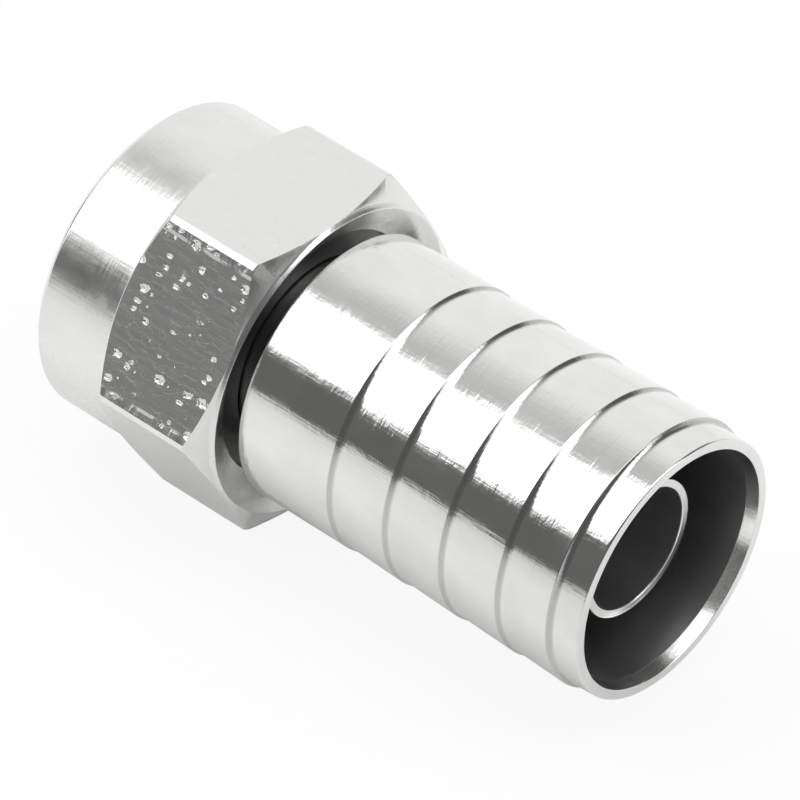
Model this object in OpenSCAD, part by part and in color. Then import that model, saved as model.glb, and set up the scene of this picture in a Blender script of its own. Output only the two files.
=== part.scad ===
// F connector, crimp-on male plug for coaxial cable: a hexagonal coupling nut
// that swivels on a turned post, and a crimp sleeve with ring grooves pressed
// on the post's shoulder. The plug lies on one flat of its hexagon, its axis
// along X, with the open end of the nut at -X and the cable entry at +X.
// The origin is on the resting plane, under the middle of the plug's length.
// Axial places below are measured from the nut's open front face.

/* [Coupling nut] */
// Width across the flats of the hexagon
across_flats = 11.1; // [10.9:0.1:13]
// Length of the nut from its open face to its rear face
nut_l = 7.7; // [7:0.1:10]
// Diameter of the round collar in front of the hexagon
collar_d = 11.0; // [10:0.1:11]
// Length of the round collar up to the start of the hexagon's bevel
collar_l = 3.0; // [2:0.1:4]
// Depth of the small bevel round the nut's open face
nut_edge = 0.15; // [0.05:0.05:0.3]
// Slope of the bevel in front of the hexagon, in degrees
front_bevel_angle = 36; // [20:1:40]
// Slope of the bevel behind the hexagon, in degrees
rear_bevel_angle = 28; // [20:1:40]
// Width by which each long edge of the hexagon is broken
hex_edge = 0.22; // [0.05:0.01:0.3]
// Diameter of the threaded hole over the crests of its thread
thread_minor_d = 8.8; // [8.6:0.05:9]
// Diameter of the lead-in at the mouth of the threaded hole
lead_in_d = 9.8; // [9.5:0.1:10]
// Length of the conical lead-in
lead_in_l = 0.5; // [0.3:0.1:0.8]
// Diameter of the undercut behind the thread, which holds the post's flange
relief_d = 9.6; // [9:0.1:9.8]
// Outer diameter of the countersink in the rear face
rear_sink_d = 10.86; // [10:0.02:10.9]
// Depth of the countersink in the rear face
rear_sink_l = 0.65; // [0.3:0.05:0.7]
// Width of the flat ring between the rear chamfer and the countersink
rear_rim_w = 0.03; // [0.02:0.01:0.1]
// Length of the steep chamfer between the flats and the rear face
rear_chamfer_l = 0.2; // [0.1:0.05:0.3]
// Width of the steep chamfer between the flats and the rear face
rear_chamfer_w = 0.11; // [0.06:0.01:0.15]
// Diameter of the round recess behind the retaining lip
rear_recess_d = 8.7; // [8.2:0.1:9.4]

/* [Swivel] */
// Thickness of the lip that holds the nut on the post
lip_t = 0.8; // [0.6:0.1:1.2]
// Depth of the lip's rear side below the nut's rear face
lip_depth = 0.9; // [0.5:0.1:1.2]
// Radial clearance between the lip's bore and the post's neck
swivel_clearance = 0.06; // [0.02:0.01:0.1]
// Gap between the post's flange and the lip, part of the nut's axial float
flange_gap = 0.25; // [0.1:0.05:0.4]
// Gap between the end of the thread and the post's flange
thread_gap = 0.05; // [0.02:0.01:0.3]

/* [Post] */
// Diameter of the flange inside the nut
flange_d = 8.2; // [7.6:0.1:8.4]
// Thickness of the flange
flange_t = 1.0; // [0.7:0.1:1.5]
// Bevel of the flange's front edge and of the shoulder's front edge
post_edge = 0.15; // [0.05:0.05:0.3]
// Diameter of the neck that the nut turns on
neck_d = 6.6; // [6:0.1:7]
// Diameter of the tube's bore, which takes the cable's insulated core
core_bore_d = 4.3; // [3.8:0.05:4.6]
// Wall of the tube
tube_wall = 0.3; // [0.15:0.01:0.4]
// Distance from the sleeve's mouth back to the end of the tube
tube_setback = 1.4; // [0.5:0.1:4]
// Length of the shoulder inside the sleeve, which is pressed on it
shoulder_l = 2.2; // [1.5:0.1:3]
// Length by which the shoulder stands out in front of the sleeve
shoulder_lead = 0.5; // [0.3:0.05:0.6]
// Length of the cone from the shoulder down to the tube
shoulder_cone_l = 0.9; // [0.4:0.1:1.5]

/* [Crimp sleeve] */
// Outer diameter of the sleeve
sleeve_d = 9.46; // [9.2:0.02:9.8]
// Wall of the sleeve
sleeve_wall = 0.64; // [0.5:0.01:0.7]
// Step by which the bore narrows where the sleeve grips the shoulder
grip_step = 0.3; // [0.1:0.05:0.4]
// Clearance that stands for the press fit on the shoulder
press_clearance = 0.01; // [0:0.005:0.02]
// Gap between the nut's rear face and the sleeve's front edge
nut_gap = 0.3; // [0.2:0.05:1]
// Length of the plain band at the front, up to the first groove
front_band_l = 3.77; // [2:0.01:5]
// Number of ring grooves
groove_count = 5; // [2:1:8]
// Distance from one groove to the next
groove_pitch = 2.31; // [1.8:0.01:3]
// Distance from the last groove but one to the last
last_pitch = 2.06; // [1.8:0.01:3]
// Depth of a groove
groove_depth = 0.07; // [0.06:0.01:0.1]
// Length of the steep side of a groove
groove_drop_l = 0.14; // [0.1:0.02:0.3]
// Length of the gentle slope from the groove's foot up to its crease
groove_ramp_l = 1.04; // [0.6:0.02:1.2]
// Depth of the crease
crease_depth = 0.04; // [0.03:0.01:0.05]
// Depth of the land that follows, below the raised edge of the next groove
land_depth = 0.03; // [0.01:0.01:0.03]
// Length over which the land rises to the raised edge of the next groove
edge_rise_l = 0.1; // [0.05:0.05:0.3]
// Distance from the last groove to the mouth
end_band_l = 1.12; // [0.8:0.02:2]
// Diameter of the end band, right behind the last groove
end_band_d = 9.2; // [9.1:0.02:9.4]
// Outer diameter to which the end band has tapered at the mouth
mouth_d = 9.12; // [9:0.02:9.2]
// Radius that rounds the sleeve's front edge
sleeve_round = 0.1; // [0.05:0.05:0.2]
// Radius that rounds the outer edge of the mouth
mouth_round = 0.06; // [0.02:0.02:0.1]
// Width by which the bore opens out at the mouth
flare_w = 0.12; // [0.04:0.02:0.2]
// Length of the flare inside the mouth
flare_l = 0.44; // [0.2:0.02:0.8]

/* [Hidden] */
$fn = 96;
// Length by which a cutting body runs past the face it cuts
cut = 0.5;
// Steps in a quarter round of a turned profile
round_steps = 8;

// Nut: a vertex of the hexagon points along Y, so that a flat is underneath
across_corners = across_flats / cos(30);
edge_cut = hex_edge / (2 * tan(60));
edge_apothem = across_corners / 2 - edge_cut;
collar_r = collar_d / 2;
rear_sink_r = rear_sink_d / 2;
rear_edge_r = rear_sink_r + rear_rim_w;
rear_bevel_r = rear_edge_r + rear_chamfer_w;
rear_bevel_x = nut_l - rear_chamfer_l;
lip_rear_x = nut_l - lip_depth;
lip_front_x = lip_rear_x - lip_t;

// Post
neck_r = neck_d / 2;
flange_r = flange_d / 2;
flange_rear_x = lip_front_x - flange_gap;
flange_front_x = flange_rear_x - flange_t;
thread_end_x = flange_front_x - thread_gap;
tube_r = core_bore_d / 2 + tube_wall;

// Sleeve
sleeve_r = sleeve_d / 2;
sleeve_bore_r = sleeve_r - sleeve_wall;
grip_bore_r = sleeve_bore_r - grip_step;
sleeve_front_x = nut_l + nut_gap;
first_groove_x = sleeve_front_x + front_band_l;
land_r = sleeve_r - land_depth;
last_groove_x = first_groove_x + (groove_count - 2) * groove_pitch + last_pitch;
mouth_x = last_groove_x + end_band_l;
mouth_r = mouth_d / 2;
flare_r = sleeve_bore_r + flare_w;

// The sleeve's grip on the post's shoulder
shoulder_r = grip_bore_r - press_clearance;
shoulder_front_x = sleeve_front_x - shoulder_lead;
shoulder_end_x = sleeve_front_x + shoulder_l;
tube_end_x = mouth_x - tube_setback;

// Points of a quarter round of radius r about (x, y), from angle a0 to a0 + 90
function quarter(x, y, r, a0) = [
    for (i = [0 : round_steps])
        let (a = a0 + 90 * i / round_steps) [x + r * cos(a), y + r * sin(a)]
];

// Place of the groove with number i, counted from 0
function groove_x(i) = i < groove_count - 1 ? first_groove_x + i * groove_pitch : last_groove_x;

// Ring groove at axial place x and the land behind it, up to the raised edge of the next
function groove_and_land(x, next_x) = [
    [sleeve_r, x],
    [sleeve_r - groove_depth, x + groove_drop_l],
    [sleeve_r - crease_depth, x + groove_drop_l + groove_ramp_l],
    [land_r, next_x - edge_rise_l]
];

// Lays a body that was turned about Z down on the flat of the hexagon
module laid_down() {
    translate([-mouth_x / 2, 0, across_flats / 2]) rotate([0, 90, 0]) children();
}

// Hexagonal bar with broken long edges
module hexagon_bar(length) {
    intersection() {
        rotate([0, 0, 30]) cylinder(d = across_corners, h = length, $fn = 6);
        cylinder(r = edge_apothem / cos(30), h = length, $fn = 6);
    }
}

// Turned envelope that bevels both ends of the hexagon
module hexagon_envelope() {
    wide_r = across_corners / 2;
    rotate_extrude() polygon([
        [0, 0],
        [collar_r - nut_edge, 0],
        [collar_r, nut_edge],
        [collar_r, collar_l],
        [wide_r, collar_l + (wide_r - collar_r) * tan(front_bevel_angle)],
        [wide_r, rear_bevel_x - (wide_r - rear_bevel_r) * tan(rear_bevel_angle)],
        [rear_bevel_r, rear_bevel_x],
        [rear_edge_r, nut_l],
        [0, nut_l]
    ]);
}

// Everything that is bored out of the nut, from the open face to the rear
module nut_bores() {
    translate([0, 0, -cut]) cylinder(d = lead_in_d, h = cut);
    cylinder(d1 = lead_in_d, d2 = thread_minor_d, h = lead_in_l);
    translate([0, 0, lead_in_l / 2]) cylinder(d = thread_minor_d, h = thread_end_x);
    translate([0, 0, thread_end_x]) cylinder(d = relief_d, h = lip_front_x - thread_end_x);
    cylinder(r = neck_r + swivel_clearance, h = nut_l);
    translate([0, 0, lip_rear_x]) cylinder(d = rear_recess_d, h = lip_depth + cut);
    translate([0, 0, nut_l - rear_sink_l])
        cylinder(d1 = rear_recess_d, d2 = rear_sink_d, h = rear_sink_l);
    translate([0, 0, nut_l]) cylinder(d = rear_sink_d, h = cut);
}

module coupling_nut() {
    color("silver") laid_down() difference() {
        union() {
            intersection() {
                translate([0, 0, collar_l]) hexagon_bar(nut_l - collar_l);
                hexagon_envelope();
            }
            intersection() {
                cylinder(r = collar_r, h = collar_l + cut);
                hexagon_envelope();
            }
        }
        nut_bores();
    }
}

module post() {
    color("gainsboro") laid_down() difference() {
        rotate_extrude() polygon([
            [0, flange_front_x],
            [flange_r - post_edge, flange_front_x],
            [flange_r, flange_front_x + post_edge],
            [flange_r, flange_rear_x],
            [neck_r, flange_rear_x],
            [neck_r, shoulder_front_x],
            [shoulder_r - post_edge, shoulder_front_x],
            [shoulder_r, shoulder_front_x + post_edge],
            [shoulder_r, shoulder_end_x],
            [tube_r, shoulder_end_x + shoulder_cone_l],
            [tube_r, tube_end_x],
            [0, tube_end_x]
        ]);
        translate([0, 0, flange_front_x - cut])
            cylinder(d = core_bore_d, h = tube_end_x - flange_front_x + 2 * cut);
    }
}

module crimp_sleeve() {
    color("lightgray") laid_down() rotate_extrude() polygon(concat(
        [[grip_bore_r, sleeve_front_x]],
        quarter(sleeve_r - sleeve_round, sleeve_front_x + sleeve_round, sleeve_round, -90),
        [for (i = [0 : 1 : groove_count - 2]) each groove_and_land(groove_x(i), groove_x(i + 1))],
        [[sleeve_r, last_groove_x], [end_band_d / 2, last_groove_x + groove_drop_l]],
        quarter(mouth_r - mouth_round, mouth_x - mouth_round, mouth_round, 0),
        [
            [flare_r, mouth_x],
            [sleeve_bore_r, mouth_x - flare_l],
            [sleeve_bore_r, shoulder_end_x],
            [grip_bore_r, shoulder_end_x - grip_step]
        ]
    ));
}

coupling_nut();
post();
crimp_sleeve();
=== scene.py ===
# %% [markdown]
# # A crimp-on F connector
# The plug that ends a coaxial cable: a hexagonal coupling nut that swivels on a
# turned post, and a crimp sleeve with ring grooves. All three are brass with a
# bright nickel plate, so the lesson is about two things: turned shapes whose
# small roundings are true, and a mirror finish, which shows nothing but its
# surroundings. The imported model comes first, because it gives every place.

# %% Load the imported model
import math

import bmesh
import bpy
from mathutils import Matrix, Vector


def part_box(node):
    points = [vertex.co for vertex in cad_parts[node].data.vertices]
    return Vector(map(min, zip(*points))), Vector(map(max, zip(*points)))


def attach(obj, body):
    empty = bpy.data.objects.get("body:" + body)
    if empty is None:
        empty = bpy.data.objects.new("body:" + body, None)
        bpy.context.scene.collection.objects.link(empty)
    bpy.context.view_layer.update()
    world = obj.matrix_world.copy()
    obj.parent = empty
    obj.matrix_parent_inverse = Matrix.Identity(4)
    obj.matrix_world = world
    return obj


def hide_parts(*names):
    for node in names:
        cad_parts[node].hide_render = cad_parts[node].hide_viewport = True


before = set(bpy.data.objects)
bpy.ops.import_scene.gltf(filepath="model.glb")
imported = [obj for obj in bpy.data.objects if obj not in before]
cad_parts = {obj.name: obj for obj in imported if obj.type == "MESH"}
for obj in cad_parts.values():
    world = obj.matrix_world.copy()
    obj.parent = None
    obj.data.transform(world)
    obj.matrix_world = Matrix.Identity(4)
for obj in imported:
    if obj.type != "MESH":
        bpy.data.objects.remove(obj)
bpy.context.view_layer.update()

mm = 0.001
micrometre = 0.001 * mm

# %% [markdown]
# ## The driving measures
# The plug lies along X with its open nut at -X. Along the axis, places are
# counted in millimetres from the nut's open face, as a turner would, and the
# radius is counted from the axis. The ends and diameters could be typed in,
# but they are read from the frame, so that the dressed plug always fits the
# packed one. The few sizes that no box shows, such as the lip inside the nut,
# are named in the step that turns the piece.

# %% Measures from the frame
nut_low, nut_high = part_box("coupling_nut")
post_low, post_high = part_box("post")
sleeve_low, sleeve_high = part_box("crimp_sleeve")

across_flats = (nut_high.z - nut_low.z) / mm
axis_height = (nut_high.z + nut_low.z) / 2
corner_radius = nut_high.y / mm


def place_of(x):
    """Distance from the nut's open face, in mm, of a point at x metres."""
    return (x - nut_low.x) / mm


nut_length = place_of(nut_high.x)
sleeve_front = place_of(sleeve_low.x)
sleeve_mouth = place_of(sleeve_high.x)
sleeve_radius = sleeve_high.y / mm
flange_front = place_of(post_low.x)
flange_radius = post_high.y / mm
tube_end = place_of(post_high.x)
print(f"nut {nut_length:.2f} mm long and {across_flats:.2f} mm across its flats")
print(f"sleeve from {sleeve_front:.2f} to {sleeve_mouth:.2f} mm, tube to {tube_end:.2f} mm")

# %% [markdown]
# ## The camera
# A long lens from above, over the cable end, shows the mouth, the grooves and
# one dented flat at once. A camera could be placed by its coordinates, but
# those are hard to judge. This one is set by what is said in a studio: how far
# round the plug, how high, how far away, and how much the camera leans to one
# side. Each of them can be changed alone.

# %% Camera
scene = bpy.context.scene
camera_turn = math.radians(39.44)
camera_height = math.radians(41.12)
camera_lean = math.radians(2.96)
camera_distance = 0.2381
aim_point = Vector((-0.38, 0.10, 5.60)) * mm
lens_length = 339.1
sensor_width = 36.0

back = Vector((
    math.sin(camera_turn) * math.cos(camera_height),
    -math.cos(camera_turn) * math.cos(camera_height),
    math.sin(camera_height),
))
level_right = Vector((math.cos(camera_turn), math.sin(camera_turn), 0.0))
right = level_right * math.cos(camera_lean) + back.cross(level_right) * math.sin(camera_lean)
up = back.cross(right)

camera_data = bpy.data.cameras.new("studio_camera")
camera_data.lens = lens_length
camera_data.sensor_width = sensor_width
camera_data.clip_start = 0.005
camera_data.clip_end = 20.0
camera = bpy.data.objects.new("studio_camera", camera_data)
standing = Matrix.Translation(aim_point + back * camera_distance)
camera.matrix_world = standing @ Matrix((right, up, back)).transposed().to_4x4()
scene.collection.objects.link(camera)
scene.camera = camera
print("camera at", [round(value, 4) for value in camera.location])

# %% [markdown]
# ## Adding nodes
# Every material is a small tree of nodes. It could be written out link by
# link, but then the few numbers that matter drown. One helper adds a node and
# fills its sockets, either with a value or with another node's output, and
# the others each do one sum, one ramp or one blend of two colours.


# %% Node helpers
def put(tree, kind, sockets=None, **settings):
    """Adds a node. sockets maps a name or number to a value or to another node's output."""
    made = tree.nodes.new(kind)
    for key, value in settings.items():
        setattr(made, key, value)
    for key, value in (sockets or {}).items():
        if isinstance(value, bpy.types.NodeSocket):
            tree.links.new(value, made.inputs[key])
        else:
            made.inputs[key].default_value = value
    return made


def sum_of(tree, *heights):
    """Adds up several outputs."""
    total = heights[0]
    for height in heights[1:]:
        total = put(tree, "ShaderNodeMath", {0: total, 1: height}, operation="ADD").outputs[0]
    return total


def times(tree, value, factor):
    """Multiplies an output by a number or by another output."""
    return put(tree, "ShaderNodeMath", {0: value, 1: factor}, operation="MULTIPLY").outputs[0]


# %% Ramp and colour helpers
def grey(level):
    """A grey of this level, as a colour."""
    return (level, level, level, 1.0)


def ramp(tree, value, stops, smooth=False):
    """A ramp through grey levels: stops is a list of (place, level)."""
    made = put(tree, "ShaderNodeValToRGB", {0: value})
    band = made.color_ramp
    band.interpolation = "EASE" if smooth else "LINEAR"
    while len(band.elements) < len(stops):
        band.elements.new(1.0)
    for element, (place, level) in zip(band.elements, stops):
        element.position = place
        element.color = grey(level)
    return made.outputs[0]


def fade(tree, value, places, levels=(0.0, 1.0)):
    """A ramp from one level to another between two places."""
    return ramp(tree, value, list(zip(places, levels)))


def mixed(tree, share, first, second):
    """Blends two colours: the first where share is 0, the second where it is 1."""
    mix = put(tree, "ShaderNodeMix", {0: share, 6: first, 7: second}, data_type="RGBA")
    return mix.outputs[2]


# %% [markdown]
# ## The studio round the plug
# Bright plate has almost no colour of its own, so the room does the drawing.
# Lamps and panels could be hung round the plug, but every one would have to be
# hidden from the camera. Painting the world is simpler, and each edge in it
# can be as soft as it needs to be.
#
# The set is squared to the camera: a white sweep rises behind the plug, a long
# softbox hangs over it from side to side, and on the camera's side the room
# is dark. The brightness therefore depends first on one angle, which is 0 at
# the horizon on the camera's side, 90 overhead and 180 at the horizon behind.
# From left to right the set has ends. The softbox's far right corner is cut
# back. On the right the sweep stops early, and only low down does it go on,
# with a light card near the floor and the dark room beyond. On the left the
# room is dark low down. What the camera sees directly stays white.

# %% Walls of the room
toward_camera = Vector((back.x, back.y, 0.0)).normalized()
dark_level = 0.135
# Rows of an angle in degrees and the brightness there.
room = [
    (0, dark_level),
    (62, dark_level),
    (64, 0.58),
    (115, 0.58),
    (121.6, 0.68),
    (128.8, 0.85),
    (136, 0.95),
    (180, 0.97),
]


def half_turn(angle):
    """Place of an angle in degrees on a ramp that covers 0 to 180."""
    return angle / 180.0


def share_along(tree, place, direction):
    """How far an output's vector reaches in one direction."""
    dot = put(tree, "ShaderNodeVectorMath", {0: place, 1: direction}, operation="DOT_PRODUCT")
    return dot.outputs["Value"]


world = bpy.data.worlds.new("studio")
world.use_nodes = True
scene.world = world
tree = world.node_tree
tree.nodes.clear()
direction = put(tree, "ShaderNodeTexCoord").outputs["Generated"]
height = put(tree, "ShaderNodeSeparateXYZ", {0: direction}).outputs["Z"]
nearness = share_along(tree, direction, toward_camera)
across = share_along(tree, direction, level_right)
angle = put(tree, "ShaderNodeMath", {0: height, 1: nearness}, operation="ARCTAN2").outputs[0]
turn = times(tree, angle, 1 / math.pi)
walls = ramp(tree, turn, [(half_turn(degrees), level) for degrees, level in room])
print("room with", len(room), "levels")

# %% Softbox
softbox_level = 2.1
softbox_near_edge = (62, 67)
softbox_far_edge = (105, 107)
corner_cut = 15
corner_place = (0.5, 0.9)

corner = times(tree, fade(tree, across, corner_place), half_turn(corner_cut))
cut_back = sum_of(tree, turn, corner)
near_side = fade(tree, turn, [half_turn(degrees) for degrees in softbox_near_edge])
far_side = fade(tree, cut_back, [half_turn(degrees) for degrees in softbox_far_edge], (1.0, 0.0))
softbox = times(tree, near_side, far_side)
print("softbox from", softbox_near_edge[0], "to", softbox_far_edge[1], "degrees")

# %% Ends of the set
right_end = (0.25, 0.45)
right_end_height = (0.18, 0.36)
right_end_low_share = 0.15
far_right = (0.93, 0.98)
left_end = (0.16, 0.26)
left_end_height = (0.42, 0.52)
card_level = 0.8
card_place = (0.8, 0.85)
card_height = (0.08, 0.13)

past_right = fade(tree, across, right_end)
high_up = fade(tree, height, right_end_height, (right_end_low_share, 1.0))
beyond = fade(tree, across, far_right)
from_left = sum_of(tree, across, 1.0)
past_left = fade(tree, from_left, left_end, (1.0, 0.0))
low_down = fade(tree, height, left_end_height, (1.0, 0.0))
ends = sum_of(tree, times(tree, past_right, high_up), beyond, times(tree, past_left, low_down))
past_card_edge = fade(tree, across, card_place)
below_card_top = fade(tree, height, card_height, (1.0, 0.0))
card = times(tree, past_card_edge, below_card_top)
print("light card of", card_level, "in a dark of", dark_level)

# %% World
carded = mixed(tree, card, walls, grey(card_level))
backdrop = mixed(tree, ends, carded, grey(dark_level))
lights = mixed(tree, softbox, backdrop, grey(softbox_level))
rays = put(tree, "ShaderNodeLightPath")
studio_light = put(tree, "ShaderNodeBackground", {"Color": lights, "Strength": 1.0})
white = put(tree, "ShaderNodeBackground", {"Color": (1, 1, 1, 1), "Strength": 1.0})
either = put(tree, "ShaderNodeMixShader", {
    0: rays.outputs["Is Camera Ray"],
    1: studio_light.outputs[0],
    2: white.outputs[0],
})
put(tree, "ShaderNodeOutputWorld", {"Surface": either.outputs[0]})
scene.view_settings.view_transform = "Standard"
print("world with a softbox of", softbox_level)

# %% [markdown]
# ## The paper under the plug
# The plug lies on white paper. The camera sees it white, with only a breath of
# the plug's shadow. In the plate's mirror it is bright beside the plug and
# fades within a hand's width toward the camera, where the dark room begins. A
# small sheet of paper would do the same but would show its edge, so one large
# floor is given another shade for the rays that come from a mirror.

# %% Floor
floor_width = 4.0
# Pairs of a distance toward the camera, in metres, and the paper's brightness in the mirror.
paper_fade = [(0.0, 1.0), (0.014, 0.9), (0.073, 0.5), (0.15, 0.15)]
fade_reach = 0.2
camera_glow = 0.9
mirror_glow = 0.2

floor_bm = bmesh.new()
bmesh.ops.create_grid(floor_bm, x_segments=2, y_segments=2, size=floor_width / 2)
floor_mesh = bpy.data.meshes.new("floor")
floor_bm.to_mesh(floor_mesh)
floor_bm.free()
floor = bpy.data.objects.new("floor", floor_mesh)
scene.collection.objects.link(floor)
print("floor of", floor_width, "m")


# %% White paper
def new_material(name):
    """A material with an empty tree."""
    material = bpy.data.materials.new(name)
    material.use_nodes = True
    material.node_tree.nodes.clear()
    return material


paper = new_material("white_paper")
tree = paper.node_tree
rays = put(tree, "ShaderNodeLightPath")
from_camera = rays.outputs["Is Camera Ray"]
from_mirror = rays.outputs["Is Glossy Ray"]
place = put(tree, "ShaderNodeTexCoord").outputs["Object"]
nearness = share_along(tree, place, toward_camera)
fade_stops = [(distance / fade_reach, level) for distance, level in paper_fade]
mirrored = ramp(tree, times(tree, nearness, 1 / fade_reach), fade_stops)
shade = mixed(tree, from_mirror, (1, 1, 1, 1), mirrored)
lit = put(tree, "ShaderNodeBsdfDiffuse", {"Color": shade})
glow = put(tree, "ShaderNodeEmission", {"Color": shade, "Strength": 1.0})
share = sum_of(tree, times(tree, from_camera, camera_glow), times(tree, from_mirror, mirror_glow))
surface = put(tree, "ShaderNodeMixShader", {0: share, 1: lit.outputs[0], 2: glow.outputs[0]})
put(tree, "ShaderNodeOutputMaterial", {"Surface": surface.outputs[0]})
floor_mesh.materials.append(paper)
print("finish", paper.name)

# %% [markdown]
# ## Turning an outline
# A lathe part is its half outline spun round the axis. It could be a stack of
# cylinders and cones, but their corners would have to be found and rounded
# afterwards. The outline is a short list of corners instead, each with its own
# rounding. Bevelling the corners while the outline is still a wire gives true
# arcs, and one spin does the rest. Long straight runs get a point close to
# each end, so that the shading of a rounding doesn't creep out over the plain
# metal beside it.

# %% Rounded outlines
arc_segments = 6
hold_length = 0.02
shortest_held_run = 5 * hold_length


def on_outline(place, radius):
    """Point of the outline above the axis, in mm, before the part is set down on the floor."""
    return Vector((place, 0.0, radius))


def rounded_outline(bm, corners):
    """Draws a closed outline of (place, radius, rounding) corners and rounds them."""
    verts = [bm.verts.new(on_outline(place, radius)) for place, radius, rounding in corners]
    for first, second in zip(verts, verts[1:] + verts[:1]):
        bm.edges.new((first, second))
    for rounding in sorted({corner[2] for corner in corners if corner[2]}):
        chosen = [vert for vert, corner in zip(verts, corners) if corner[2] == rounding]
        bmesh.ops.bevel(bm, geom=chosen, affect="VERTICES", offset=rounding,
                        segments=arc_segments, profile=0.5, material=-1)
    for edge in [edge for edge in bm.edges if edge.calc_length() > shortest_held_run]:
        start, end = edge.verts
        near_start = bmesh.utils.edge_split(edge, start, hold_length / edge.calc_length())[1]
        rest = next(link for link in near_start.link_edges if end in link.verts)
        bmesh.utils.edge_split(rest, end, hold_length / rest.calc_length())


# %% Turned shells
turn_steps = 384
sharp_angle = math.radians(22)
# A face belongs to a bore if its middle lies no more than this outside the bore's radius.
bore_margin = 0.01


def turn_outline(bm, corners):
    """Spins the rounded outline round the axis into a closed shell."""
    rounded_outline(bm, corners)
    bmesh.ops.spin(bm, geom=list(bm.verts) + list(bm.edges), cent=(0, 0, 0), axis=(1, 0, 0),
                   angle=math.tau, steps=turn_steps, use_merge=True)
    bmesh.ops.recalc_face_normals(bm, faces=bm.faces)
    for face in bm.faces:
        face.smooth = True


def mark_sharp(bm):
    """Keeps the corners that have no rounding crisp."""
    for edge in bm.edges:
        edge.smooth = len(edge.link_faces) == 2 and edge.calc_face_angle() < sharp_angle


def middle_of(face):
    """Place along the axis and radius of a face's middle, in mm."""
    middle = face.calc_center_median()
    return middle.x, math.hypot(middle.y, middle.z)


# %% Setting a piece down
def finish_piece(name, bm, materials, body, node=None):
    """Sets the finished mesh down in the frame as one piece that rides on a body."""
    bmesh.ops.scale(bm, vec=(mm, mm, mm), verts=bm.verts)
    bmesh.ops.translate(bm, vec=(nut_low.x, 0.0, axis_height), verts=bm.verts)
    mesh = bpy.data.meshes.new(name)
    bm.to_mesh(mesh)
    bm.free()
    for material in materials:
        mesh.materials.append(material)
    piece = bpy.data.objects.new(name, mesh)
    scene.collection.objects.link(piece)
    if node:
        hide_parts(node)
    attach(piece, body)
    triangles = sum(len(face.vertices) - 2 for face in mesh.polygons)
    print(f"{name}: {triangles} triangles")


# %% [markdown]
# ## The bright plate
# Bright nickel is a mirror with a faint warm tint. What makes it real is what
# disturbs the mirror: soft swells from the metal under the plate, fine lines
# along the tube, short rubs round it, hairline scratches, fine pits, and
# patches that are a little duller. Painted maps could hold all this, but they
# need the tube unrolled and show a seam. Here each is a noise on Object
# coordinates, stretched by a Mapping node where the marks run one way. All the
# relief ends in one Bump node, whose heights are counted in micrometres. On the
# steep walls of the sleeve's grooves the plate is made duller, and its colour
# is darkened there as painted shade.


# %% Marks and scratches
def marks(tree, scale, detail=3.0, roughness=0.55, turn=(0.0, 0.0, 0.0)):
    """Noise whose grain measures 1/scale millimetres along X, Y and Z."""
    place = put(tree, "ShaderNodeTexCoord").outputs["Object"]
    stretched = put(tree, "ShaderNodeMapping", {
        "Vector": place,
        "Rotation": tuple(math.radians(angle) for angle in turn),
        "Scale": tuple(value / mm for value in scale),
    })
    noise = put(tree, "ShaderNodeTexNoise", {
        "Vector": stretched.outputs[0],
        "Scale": 1.0,
        "Detail": detail,
        "Roughness": roughness,
    })
    return noise.outputs[0]


def scratches(tree, scale, turn, width=0.03):
    """Hairlines: where a stretched noise crosses its middle."""
    middle = 0.5
    grain = marks(tree, scale, detail=1.0, turn=turn)
    return ramp(tree, grain, [(middle - width, 0.0), (middle, 1.0), (middle + width, 0.0)])


# %% Painted shade in the grooves
# Pairs of a distance behind a groove's edge, in mm, and the strength of the painted shade and
# dullness.
groove_shade_edge = [(-0.03, 0.0), (0.01, 1.0), (0.14, 0.9), (0.22, 0.0)]
groove_shade_margin = 0.5
# Tone of the painted shade on the groove walls, as a share of the tint.
groove_shade_tone = 0.66
groove_dullness = 0.08


def groove_shade_mask(tree, starts):
    """Mask of the painted shade: 1 on the steep walls of the grooves that begin at these places, 0
    elsewhere.
    """
    place = put(tree, "ShaderNodeTexCoord").outputs["Object"]
    along = put(tree, "ShaderNodeSeparateXYZ", {0: place}).outputs[0]
    first = starts[0] - groove_shade_margin
    last = starts[-1] + groove_shade_margin
    share = put(tree, "ShaderNodeMapRange", {
        "Value": along,
        "From Min": nut_low.x + first * mm,
        "From Max": nut_low.x + last * mm,
    })
    stops = []
    for start in starts:
        for offset, level in groove_shade_edge:
            stops.append(((start + offset - first) / (last - first), level))
    return ramp(tree, share.outputs[0], stops)


# %% Metal
def tinted(tint, strength):
    """A lighter or darker tone of a tint."""
    return tuple(strength * value for value in tint) + (1,)


def metal(material, tone, dullness, height):
    """Ends a tree in metal of this tone and dullness, with heights in micrometres."""
    tree = material.node_tree
    bump = put(tree, "ShaderNodeBump", {
        "Strength": 1.0,
        "Distance": micrometre,
        "Height": height,
    })
    shader = put(tree, "ShaderNodeBsdfPrincipled", {
        "Base Color": tone,
        "Metallic": 1.0,
        "Roughness": dullness,
        "Normal": bump.outputs[0],
    })
    put(tree, "ShaderNodeOutputMaterial", {"Surface": shader.outputs[0]})
    print("finish", material.name)
    return material


# %% Nickel plate
nickel_tint = (0.83, 0.826, 0.812)
hairline_depth = 0.6
dull_patch = 1.5
dullest_patch = 2.2
dark_tone = 0.95
light_tone = 1.02


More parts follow.
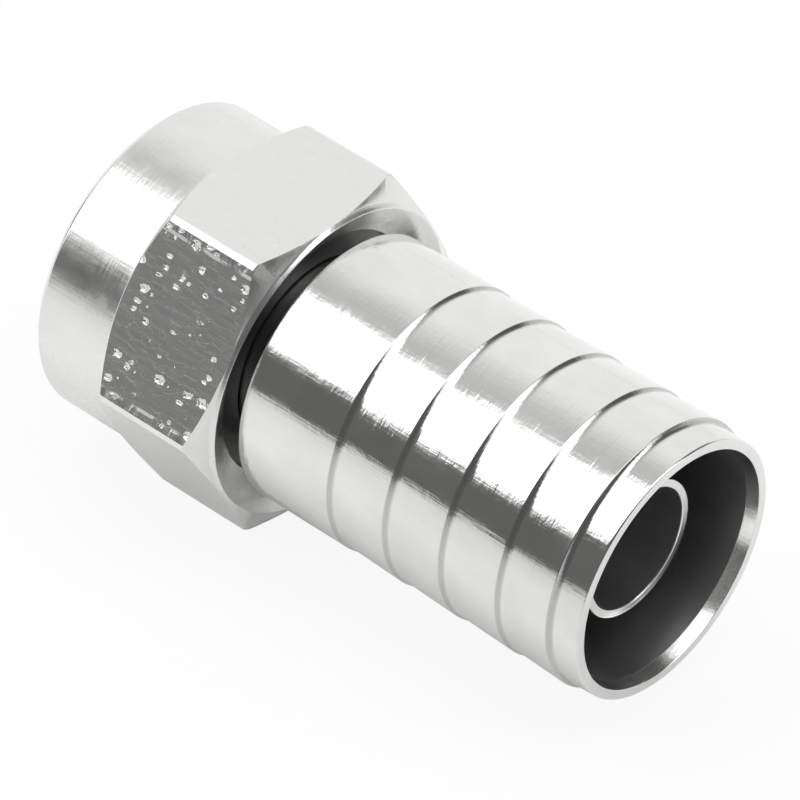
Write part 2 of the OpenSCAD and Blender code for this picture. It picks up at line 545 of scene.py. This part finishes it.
def nickel_plate(name, tint, roughness=0.07, swell=6.0, drawn=3.5, pitted=3.5, rubbed=5.0,
                 grooves=()):
    """Bright plate. The swells, drawn lines, pits and rubs have heights in micrometres."""
    material = new_material(name)
    tree = material.node_tree
    swells = marks(tree, (0.25, 0.25, 0.25), detail=2.0)
    lines = marks(tree, (0.4, 9.0, 9.0), detail=3.0)
    pits = marks(tree, (4.0, 4.0, 4.0), detail=6.0, roughness=0.65)
    hairlines = scratches(tree, (1.2, 0.25, 0.4), (20, 0, 25))
    rubs_around = marks(tree, (10.0, 1.0, 1.0), detail=3.0, roughness=0.6)
    rubbed_places = fade(tree, marks(tree, (0.5, 0.7, 0.7), detail=2.0), (0.45, 0.62), (0.3, 1.0))
    height = sum_of(
        tree,
        times(tree, swells, swell),
        times(tree, lines, drawn),
        times(tree, pits, pitted),
        times(tree, hairlines, -hairline_depth),
        times(tree, times(tree, rubs_around, rubbed_places), rubbed),
    )
    patches = marks(tree, (0.5, 0.8, 0.8), detail=4.0)
    dullness = ramp(tree, patches, [
        (0.35, roughness),
        (0.6, roughness * dull_patch),
        (0.75, roughness * dullest_patch),
    ])
    patchy = fade(tree, patches, (0.35, 0.65))
    tone = mixed(tree, patchy, tinted(tint, dark_tone), tinted(tint, light_tone))
    # Painted shade: the groove walls get a darker tone, and a rougher plate.
    if grooves:
        painted_groove_shade = groove_shade_mask(tree, grooves)
        dullness = sum_of(tree, dullness, times(tree, painted_groove_shade, groove_dullness))
        tone = mixed(tree, painted_groove_shade, tone, tinted(tint, groove_shade_tone))
    return metal(material, tone, dullness, height)


# %% [markdown]
# ## The flats of the hexagon
# The six flats are the sides of the bar that the nut was turned from. They are
# true but not smooth: fine streaks run along the bar and stay visible under
# the plate. Two opposite flats have also been knocked about. They carry small
# dents, and a thin, broken burr stands along their long edges. The dents could
# be pressed into the mesh one by one, but there are dozens, all smaller than
# half a millimetre. So Voronoi cells hold one dent each, with a size drawn
# from the cell's own colour, and a noise makes its rim ragged. The burr
# follows the distance from the axis, which on a flat is greatest along its
# long edges.

# %% Dents and burr
dents_per_mm = (1.7, 2.6, 2.6)
dent_scatter = 0.75
# Pairs of a cell's chance number and its dent's radius, as a share of the cell.
dent_sizes = [(0.0, 0.08), (0.5, 0.22), (0.95, 0.45)]
dent_raggedness = 0.6
burr_radius = 6.19
burr_width = 0.055


def dent_cells(tree, place):
    """Distance from each dent's middle, as a share of its size, and that size."""
    cells = put(tree, "ShaderNodeMapping", {
        "Vector": place,
        "Scale": tuple(count / mm for count in dents_per_mm),
    })
    dents = put(tree, "ShaderNodeTexVoronoi", {
        "Vector": cells.outputs[0],
        "Scale": 1.0,
        "Randomness": dent_scatter,
    })
    chance = put(tree, "ShaderNodeSeparateXYZ", {0: dents.outputs["Color"]}).outputs[0]
    size = ramp(tree, chance, dent_sizes)
    ragged = times(tree, marks(tree, (5.0, 5.0, 5.0), detail=3.0, roughness=0.5), dent_raggedness)
    distance = sum_of(tree, dents.outputs["Distance"], ragged, -dent_raggedness / 2)
    reach = put(tree, "ShaderNodeMath", {0: distance, 1: size}, operation="DIVIDE").outputs[0]
    return reach, size


def edge_burr(tree, place):
    """A broken ridge along a flat's long edges, from 0 to 1."""
    from_axis = put(tree, "ShaderNodeMapping", {
        "Vector": place,
        "Location": (0, 0, -axis_height / mm),
        "Scale": (0, 1 / mm, 1 / mm),
    })
    radius = put(tree, "ShaderNodeVectorMath", {0: from_axis.outputs[0]}, operation="LENGTH")
    ridge = put(tree, "ShaderNodeMapRange", {
        "Value": radius.outputs["Value"],
        "From Min": burr_radius,
        "From Max": burr_radius + burr_width,
    })
    broken = fade(tree, marks(tree, (1.5, 0.8, 0.8), detail=3.0), (0.38, 0.58), (0.1, 1.0))
    return times(tree, ridge.outputs[0], broken)


# %% Plate on the flats
flat_swell = 10.0
dent_floor_polish = 0.3
streak_tone = 0.96
streak_dullness = 1.15


def bar_flat(name, tint, dent_slope, streak_height, burr_height, roughness):
    """Plate over a flat of the bar: streaks along it, dents, and a burr along its edges."""
    material = new_material(name)
    tree = material.node_tree
    place = put(tree, "ShaderNodeTexCoord").outputs["Object"]
    streaks = marks(tree, (0.9, 9.0, 9.0), detail=5.0, roughness=0.65)
    pits = marks(tree, (5.0, 5.0, 5.0), detail=4.0)
    swells = marks(tree, (0.3, 0.3, 0.3), detail=2.0)
    reach, size = dent_cells(tree, place)
    bowl = times(tree, ramp(tree, reach, [(0.0, 0.0), (1.0, 1.0)], smooth=True), size)
    height = sum_of(
        tree,
        times(tree, streaks, streak_height),
        pits,
        times(tree, swells, flat_swell),
        times(tree, bowl, dent_slope),
        times(tree, edge_burr(tree, place), burr_height),
    )
    pressed = fade(tree, reach, (0.0, 1.0), (dent_floor_polish, 1.0))
    streaked = fade(tree, streaks, (0.35, 0.65), (roughness, streak_dullness * roughness))
    tone = mixed(tree, streaks, tinted(tint, streak_tone), tinted(tint, 1.0))
    return metal(material, tone, times(tree, pressed, streaked), height)


# %% [markdown]
# ## The dark bores, in painted shade
# Inside the tubes, and in the gap behind the nut, little light finds its way
# out. The bright plate could be used there too, but its mirror would throw the
# softbox back out of the mouth. So the bores get a rougher metal whose colour
# is darkened as painted shade, with the faint rings that the boring tool left.

# %% Dark bores: painted shade
bore_roughness = 0.4


def bore_shade_finish(name, low, high):
    """Inside of the tubes: rough metal whose colour is painted shade, between two grey levels."""
    material = new_material(name)
    tree = material.node_tree
    rings = marks(tree, (8.0, 0.3, 0.3), detail=2.0)
    patches = marks(tree, (0.6, 0.6, 0.6), detail=3.0)
    return metal(material, mixed(tree, patches, grey(low), grey(high)), bore_roughness, rings)


# Painted shade: the bores and the gap behind the nut are given dark grey colours.
shaded_bore = bore_shade_finish("shaded_bore", 0.45, 0.62)
shaded_gap = bore_shade_finish("shaded_gap", 0.25, 0.38)

# %% [markdown]
# ## The coupling nut
# The nut screws on to the socket. It is turned from hexagonal bar: the collar
# in front is round, and both ends of the hexagon are bevelled by the lathe,
# which leaves the curved line where each flat ends. A hexagonal prism with
# bevelled edges would miss that curve. Turning the order round gives it with
# two tools: the whole envelope is spun first, and six cuts then take the flats
# off it.

# %% Sizes of the nut, in millimetres
collar_radius = 5.5
collar_length = 3.0
collar_edge = 0.15
front_bevel_rise = math.tan(math.radians(36))
rear_bevel_rise = math.tan(math.radians(28))
rear_chamfer_length = 0.12
rear_chamfer_width = 0.08
rear_rim = 0.03
sink_radius = 5.43
sink_depth = 0.65
recess_radius = 4.35
lip_front = 6.0
lip_rear = 6.8
lip_bore_radius = 3.36
relief_radius = 4.8
thread_end = 4.7
thread_crest_radius = 4.4
thread_root_radius = 4.76
lead_in_radius = 4.9
lead_in_length = 0.5
# How much narrower the lead-in gets for each millimetre along the axis.
lead_in_slope = (lead_in_radius - thread_crest_radius) / lead_in_length
print(f"thread {thread_root_radius - thread_crest_radius:.2f} mm deep")

# %% Finishes of the nut
nut_plate = nickel_plate("nut_plate", nickel_tint, roughness=0.18, swell=9.0, pitted=2.5)
flat_plate = bar_flat("flat_plate", nickel_tint, dent_slope=6.0, streak_height=0.7,
                      burr_height=3.0, roughness=0.16)
dented_plate = bar_flat("dented_plate", nickel_tint, dent_slope=160.0, streak_height=0.7,
                        burr_height=20.0, roughness=0.24)
nut_finishes = [nut_plate, flat_plate, shaded_gap, dented_plate]
flat_slot = nut_finishes.index(flat_plate)
gap_slot = nut_finishes.index(shaded_gap)
dented_slot = nut_finishes.index(dented_plate)


# %% Outline of the nut
def nut_outline():
    """Closed half outline of the nut, from the open face over the hexagon and back inside."""
    rear_edge = sink_radius + rear_rim
    chamfer_radius = rear_edge + rear_chamfer_width
    chamfer_start = nut_length - rear_chamfer_length
    front_bevel_length = (corner_radius - collar_radius) * front_bevel_rise
    rear_bevel_length = (corner_radius - chamfer_radius) * rear_bevel_rise
    root_start = (lead_in_radius - thread_root_radius) / lead_in_slope
    return [
        (0.0, lead_in_radius, 0.03),
        (0.0, collar_radius - collar_edge, 0.06),
        (collar_edge, collar_radius, 0.06),
        (collar_length, collar_radius, 0.02),
        (collar_length + front_bevel_length, corner_radius, 0.04),
        (chamfer_start - rear_bevel_length, corner_radius, 0.04),
        (chamfer_start, chamfer_radius, 0.05),
        (nut_length, rear_edge, 0.012),
        (nut_length, sink_radius, 0.012),
        (nut_length - sink_depth, recess_radius, 0.04),
        (lip_rear, recess_radius, 0.0),
        (lip_rear, lip_bore_radius, 0.05),
        (lip_front, lip_bore_radius, 0.05),
        (lip_front, relief_radius, 0.0),
        (thread_end, relief_radius, 0.0),
        (thread_end, thread_root_radius, 0.0),
        (root_start, thread_root_radius, 0.0),
    ]


# %% Turned envelope of the nut
# The painted shade of the gap begins this far behind the lip's front face.
lip_margin = 0.1

nut_bm = bmesh.new()
turn_outline(nut_bm, nut_outline())
for face in nut_bm.faces:
    place, radius = middle_of(face)
    behind_lip = lip_front + lip_margin < place < nut_length - sink_depth
    if behind_lip and radius < recess_radius + bore_margin:
        face.material_index = gap_slot
print("turned envelope of", len(nut_bm.faces), "faces")

# %% Flats of the nut
first_flat = 30
flat_count = 6
dented_flats = (2, 5)
cut_tolerance = 1e-5
flat_edge_rounding = 0.03


def cut_flats(bm):
    """Cuts the six flats off the turned envelope and closes them."""
    apothem = across_flats / 2
    for flat in range(flat_count):
        angle = math.radians(first_flat + 360 / flat_count * flat)
        outward = Vector((0.0, math.cos(angle), math.sin(angle)))
        cut = bmesh.ops.bisect_plane(bm, geom=list(bm.verts) + list(bm.edges) + list(bm.faces),
                                     dist=cut_tolerance, plane_co=outward * apothem,
                                     plane_no=outward, clear_outer=True)
        rim = [item for item in cut["geom_cut"] if isinstance(item, bmesh.types.BMEdge)]
        slot = dented_slot if flat in dented_flats else flat_slot
        bmesh.ops.edgeloop_fill(bm, edges=rim, mat_nr=slot, use_smooth=False)
    bmesh.ops.recalc_face_normals(bm, faces=bm.faces)


cut_flats(nut_bm)
rims = [edge for edge in nut_bm.edges
        if sum(face.material_index in (flat_slot, dented_slot) for face in edge.link_faces) == 1]
print("edges round the flats:", len(rims))
bmesh.ops.bevel(nut_bm, geom=rims, affect="EDGES", offset=flat_edge_rounding, segments=2,
                profile=0.5, material=0, clamp_overlap=True)
mark_sharp(nut_bm)
finish_piece("nut_body", nut_bm, nut_finishes, "nut", "coupling_nut")

# %% [markdown]
# ## The thread
# A thread is one ridge that climbs round the bore, and it grips the socket. A
# Screw modifier could make it, but a spin that also moves a little along the
# axis at every step sweeps the ridge's section into a helix in one call. Where
# the ridge runs into the lead-in cone it is pressed out to the cone, and over
# its first quarter turn it rises out of the wall, as a cut thread does.

# %% Section of the thread
inch = 25.4
turns_per_inch = 32
thread_pitch = inch / turns_per_inch
thread_steps_per_turn = 120
thread_start = 0.05
ridge_sink = 0.03
foot_radius = thread_root_radius + ridge_sink
thread_depth = thread_root_radius - thread_crest_radius
flank_angle = math.radians(30)
ridge_half_root = thread_pitch * 7 / 16
ridge_half_crest = ridge_half_root - thread_depth * math.tan(flank_angle)
section = [
    (-ridge_half_root, foot_radius),
    (-ridge_half_crest, thread_crest_radius),
    (ridge_half_crest, thread_crest_radius),
    (ridge_half_root, foot_radius),
]
print(f"ridge {2 * ridge_half_crest:.2f} mm wide at its crest")

# %% Helix of the thread
thread_bm = bmesh.new()
first_place = thread_start + ridge_half_root
ridge = [thread_bm.verts.new(on_outline(first_place + along, radius)) for along, radius in section]
ridge_face = thread_bm.faces.new(ridge)
thread_turns = (thread_end - ridge_half_root - first_place) / thread_pitch
thread_steps = round(thread_turns * thread_steps_per_turn)
bmesh.ops.spin(thread_bm, geom=ridge + list(thread_bm.edges) + [ridge_face], cent=(0, 0, 0),
               axis=(1, 0, 0), angle=math.tau * thread_turns,
               dvec=(thread_pitch / thread_steps_per_turn, 0, 0), steps=thread_steps,
               use_merge=False)
print(f"thread of {thread_turns:.1f} turns")

# %% Run-in of the thread
run_in = 0.25
half_pitch = 0.5

for vert in thread_bm.verts:
    radius = math.hypot(vert.co.y, vert.co.z)
    cone_radius = lead_in_radius - vert.co.x * lead_in_slope
    pressed_radius = max(radius, cone_radius)
    turned = math.atan2(-vert.co.y, vert.co.z) % math.tau / math.tau
    in_first_turn = vert.co.x < first_place + thread_pitch * (turned + half_pitch)
    if in_first_turn and turned < run_in:
        risen = foot_radius + (radius - foot_radius) * turned / run_in
        pressed_radius = max(pressed_radius, risen)
    vert.co.y *= pressed_radius / radius
    vert.co.z *= pressed_radius / radius
bmesh.ops.recalc_face_normals(thread_bm, faces=thread_bm.faces)
for face in thread_bm.faces:
    face.smooth = True
mark_sharp(thread_bm)
finish_piece("nut_thread", thread_bm, [nut_plate], "nut")

# %% [markdown]
# ## The post
# The post holds the plug together: a flange inside the nut, a neck that the
# nut turns on, a shoulder that the sleeve grips, and a thin tube that takes the
# cable's core. Only the tube's end shows, inside the mouth of the sleeve. A
# plain tube would be enough for that view, but one outline for the whole post
# costs no more work, and the plug is then right from the open nut's side too.

# %% Sizes of the post, in millimetres
flange_thickness = 1.0
flange_rear = flange_front + flange_thickness
neck_radius = 3.3
shoulder_front = 7.5
shoulder_end = 10.2
shoulder_radius = 3.78
shoulder_cone = 0.9
tube_bore_radius = 2.15
tube_wall = 0.3
tube_radius = tube_bore_radius + tube_wall
print(f"flange from {flange_front:.2f} to {flange_rear:.2f} mm")

# %% Post body
post_plate = nickel_plate("post_plate", (0.78, 0.776, 0.762))
post_finishes = [post_plate, shaded_bore, shaded_gap]
post_corners = [
    (flange_front, tube_bore_radius, 0.05),
    (flange_front, flange_radius, 0.12),
    (flange_rear, flange_radius, 0.05),
    (flange_rear, neck_radius, 0.05),
    (shoulder_front, neck_radius, 0.05),
    (shoulder_front, shoulder_radius, 0.12),
    (shoulder_end, shoulder_radius, 0.05),
    (shoulder_end + shoulder_cone, tube_radius, 0.05),
    (tube_end, tube_radius, 0.05),
    (tube_end, tube_bore_radius, 0.05),
]

post_bm = bmesh.new()
turn_outline(post_bm, post_corners)
# The post's bore and its neck in the gap get the painted-shade finishes.
for face in post_bm.faces:
    place, radius = middle_of(face)
    if radius < tube_bore_radius + bore_margin:
        face.material_index = post_finishes.index(shaded_bore)
    if flange_rear < place < sleeve_front:
        face.material_index = post_finishes.index(shaded_gap)
mark_sharp(post_bm)
finish_piece("post_body", post_bm, post_finishes, "ferrule", "post")

# %% [markdown]
# ## The crimp sleeve
# The sleeve is squeezed on to the cable's jacket with a crimping tool. Its ring
# grooves are like saw teeth: each drops steeply, then climbs so gently that
# the land looks like plain tube all the way to the edge of the next groove.
# Half way along the climb there is a fine hairline. Behind the last groove the
# metal stays low and tapers to the mouth, where the bore opens in a short
# flare. Grooves drawn by a bump would leave the sleeve's silhouette straight,
# so they are corners of the outline that is spun.

# %% Sizes of the sleeve, in millimetres
sleeve_bore_radius = 4.09
grip_radius = 3.79
groove_count = 5
first_groove = 11.77
groove_pitch = 2.31
last_pitch = 2.06
groove_depth = 0.07
groove_wall_length = 0.26
last_wall_length = 0.18
groove_length = 1.18
crease_depth = 0.035
hairline_groove_depth = 0.0012
hairline_half_width = 0.02
end_band_radius = 4.6
mouth_radius = 4.56
flare_radius = 4.21
flare_length = 0.44
groove_places = [first_groove + number * groove_pitch for number in range(groove_count - 1)]
groove_places.append(groove_places[-1] + last_pitch)
print("grooves at", [round(place, 2) for place in groove_places])

# %% Outline of a groove
# Rows of a share of the wall's length, a share of its depth, and a rounding in mm.
hollow = [
    (0.0, 0.0, 0.015),
    (0.15, 0.34, 0.015),
    (0.32, 0.62, 0.015),
    (0.58, 0.9, 0.03),
    (1.0, 1.0, 0.03),
]


def groove_wall(start, depth, length):
    """The steep side of a groove: a hollow that is steepest at the edge and runs out flat."""
    return [(start + along * length, sleeve_radius - down * depth, rounding)
            for along, down, rounding in hollow]


def groove_and_land(start):
    """One ring groove of the sleeve, and the land behind it as far as its hairline."""
    line_place = start + groove_length
    line_radius = sleeve_radius - crease_depth
    return groove_wall(start, groove_depth, groove_wall_length) + [
        (line_place - hairline_half_width, line_radius, 0.0),
        (line_place, line_radius - hairline_groove_depth, 0.0),
        (line_place + hairline_half_width, line_radius, 0.0),
    ]


# %% Outline of the sleeve
sleeve_corners = [(sleeve_front, grip_radius, 0.05), (sleeve_front, sleeve_radius, 0.09)]
for start in groove_places[:-1]:
    sleeve_corners += groove_and_land(start)
sleeve_corners += [
    *groove_wall(groove_places[-1], sleeve_radius - end_band_radius, last_wall_length),
    (sleeve_mouth, mouth_radius, 0.06),
    (sleeve_mouth, flare_radius, 0.015),
    (sleeve_mouth - flare_length, sleeve_bore_radius, 0.0),
    (shoulder_end, sleeve_bore_radius, 0.0),
    (shoulder_end, grip_radius, 0.0),
]
print("outline with", len(sleeve_corners), "corners")

# %% Sleeve body
# The sleeve's plate carries painted shade on its groove walls.
sleeve_plate = nickel_plate("sleeve_plate", nickel_tint, grooves=groove_places)
flare_plate = nickel_plate("flare_plate", nickel_tint, roughness=0.14, rubbed=2.0)
sleeve_finishes = [sleeve_plate, shaded_bore, flare_plate]

sleeve_bm = bmesh.new()
turn_outline(sleeve_bm, sleeve_corners)
for face in sleeve_bm.faces:
    place, radius = middle_of(face)
    # The sleeve's bore gets the painted-shade finish.
    if radius < sleeve_bore_radius + bore_margin:
        face.material_index = sleeve_finishes.index(shaded_bore)
    elif radius < flare_radius:
        face.material_index = sleeve_finishes.index(flare_plate)
mark_sharp(sleeve_bm)
finish_piece("sleeve_body", sleeve_bm, sleeve_finishes, "ferrule", "crimp_sleeve")
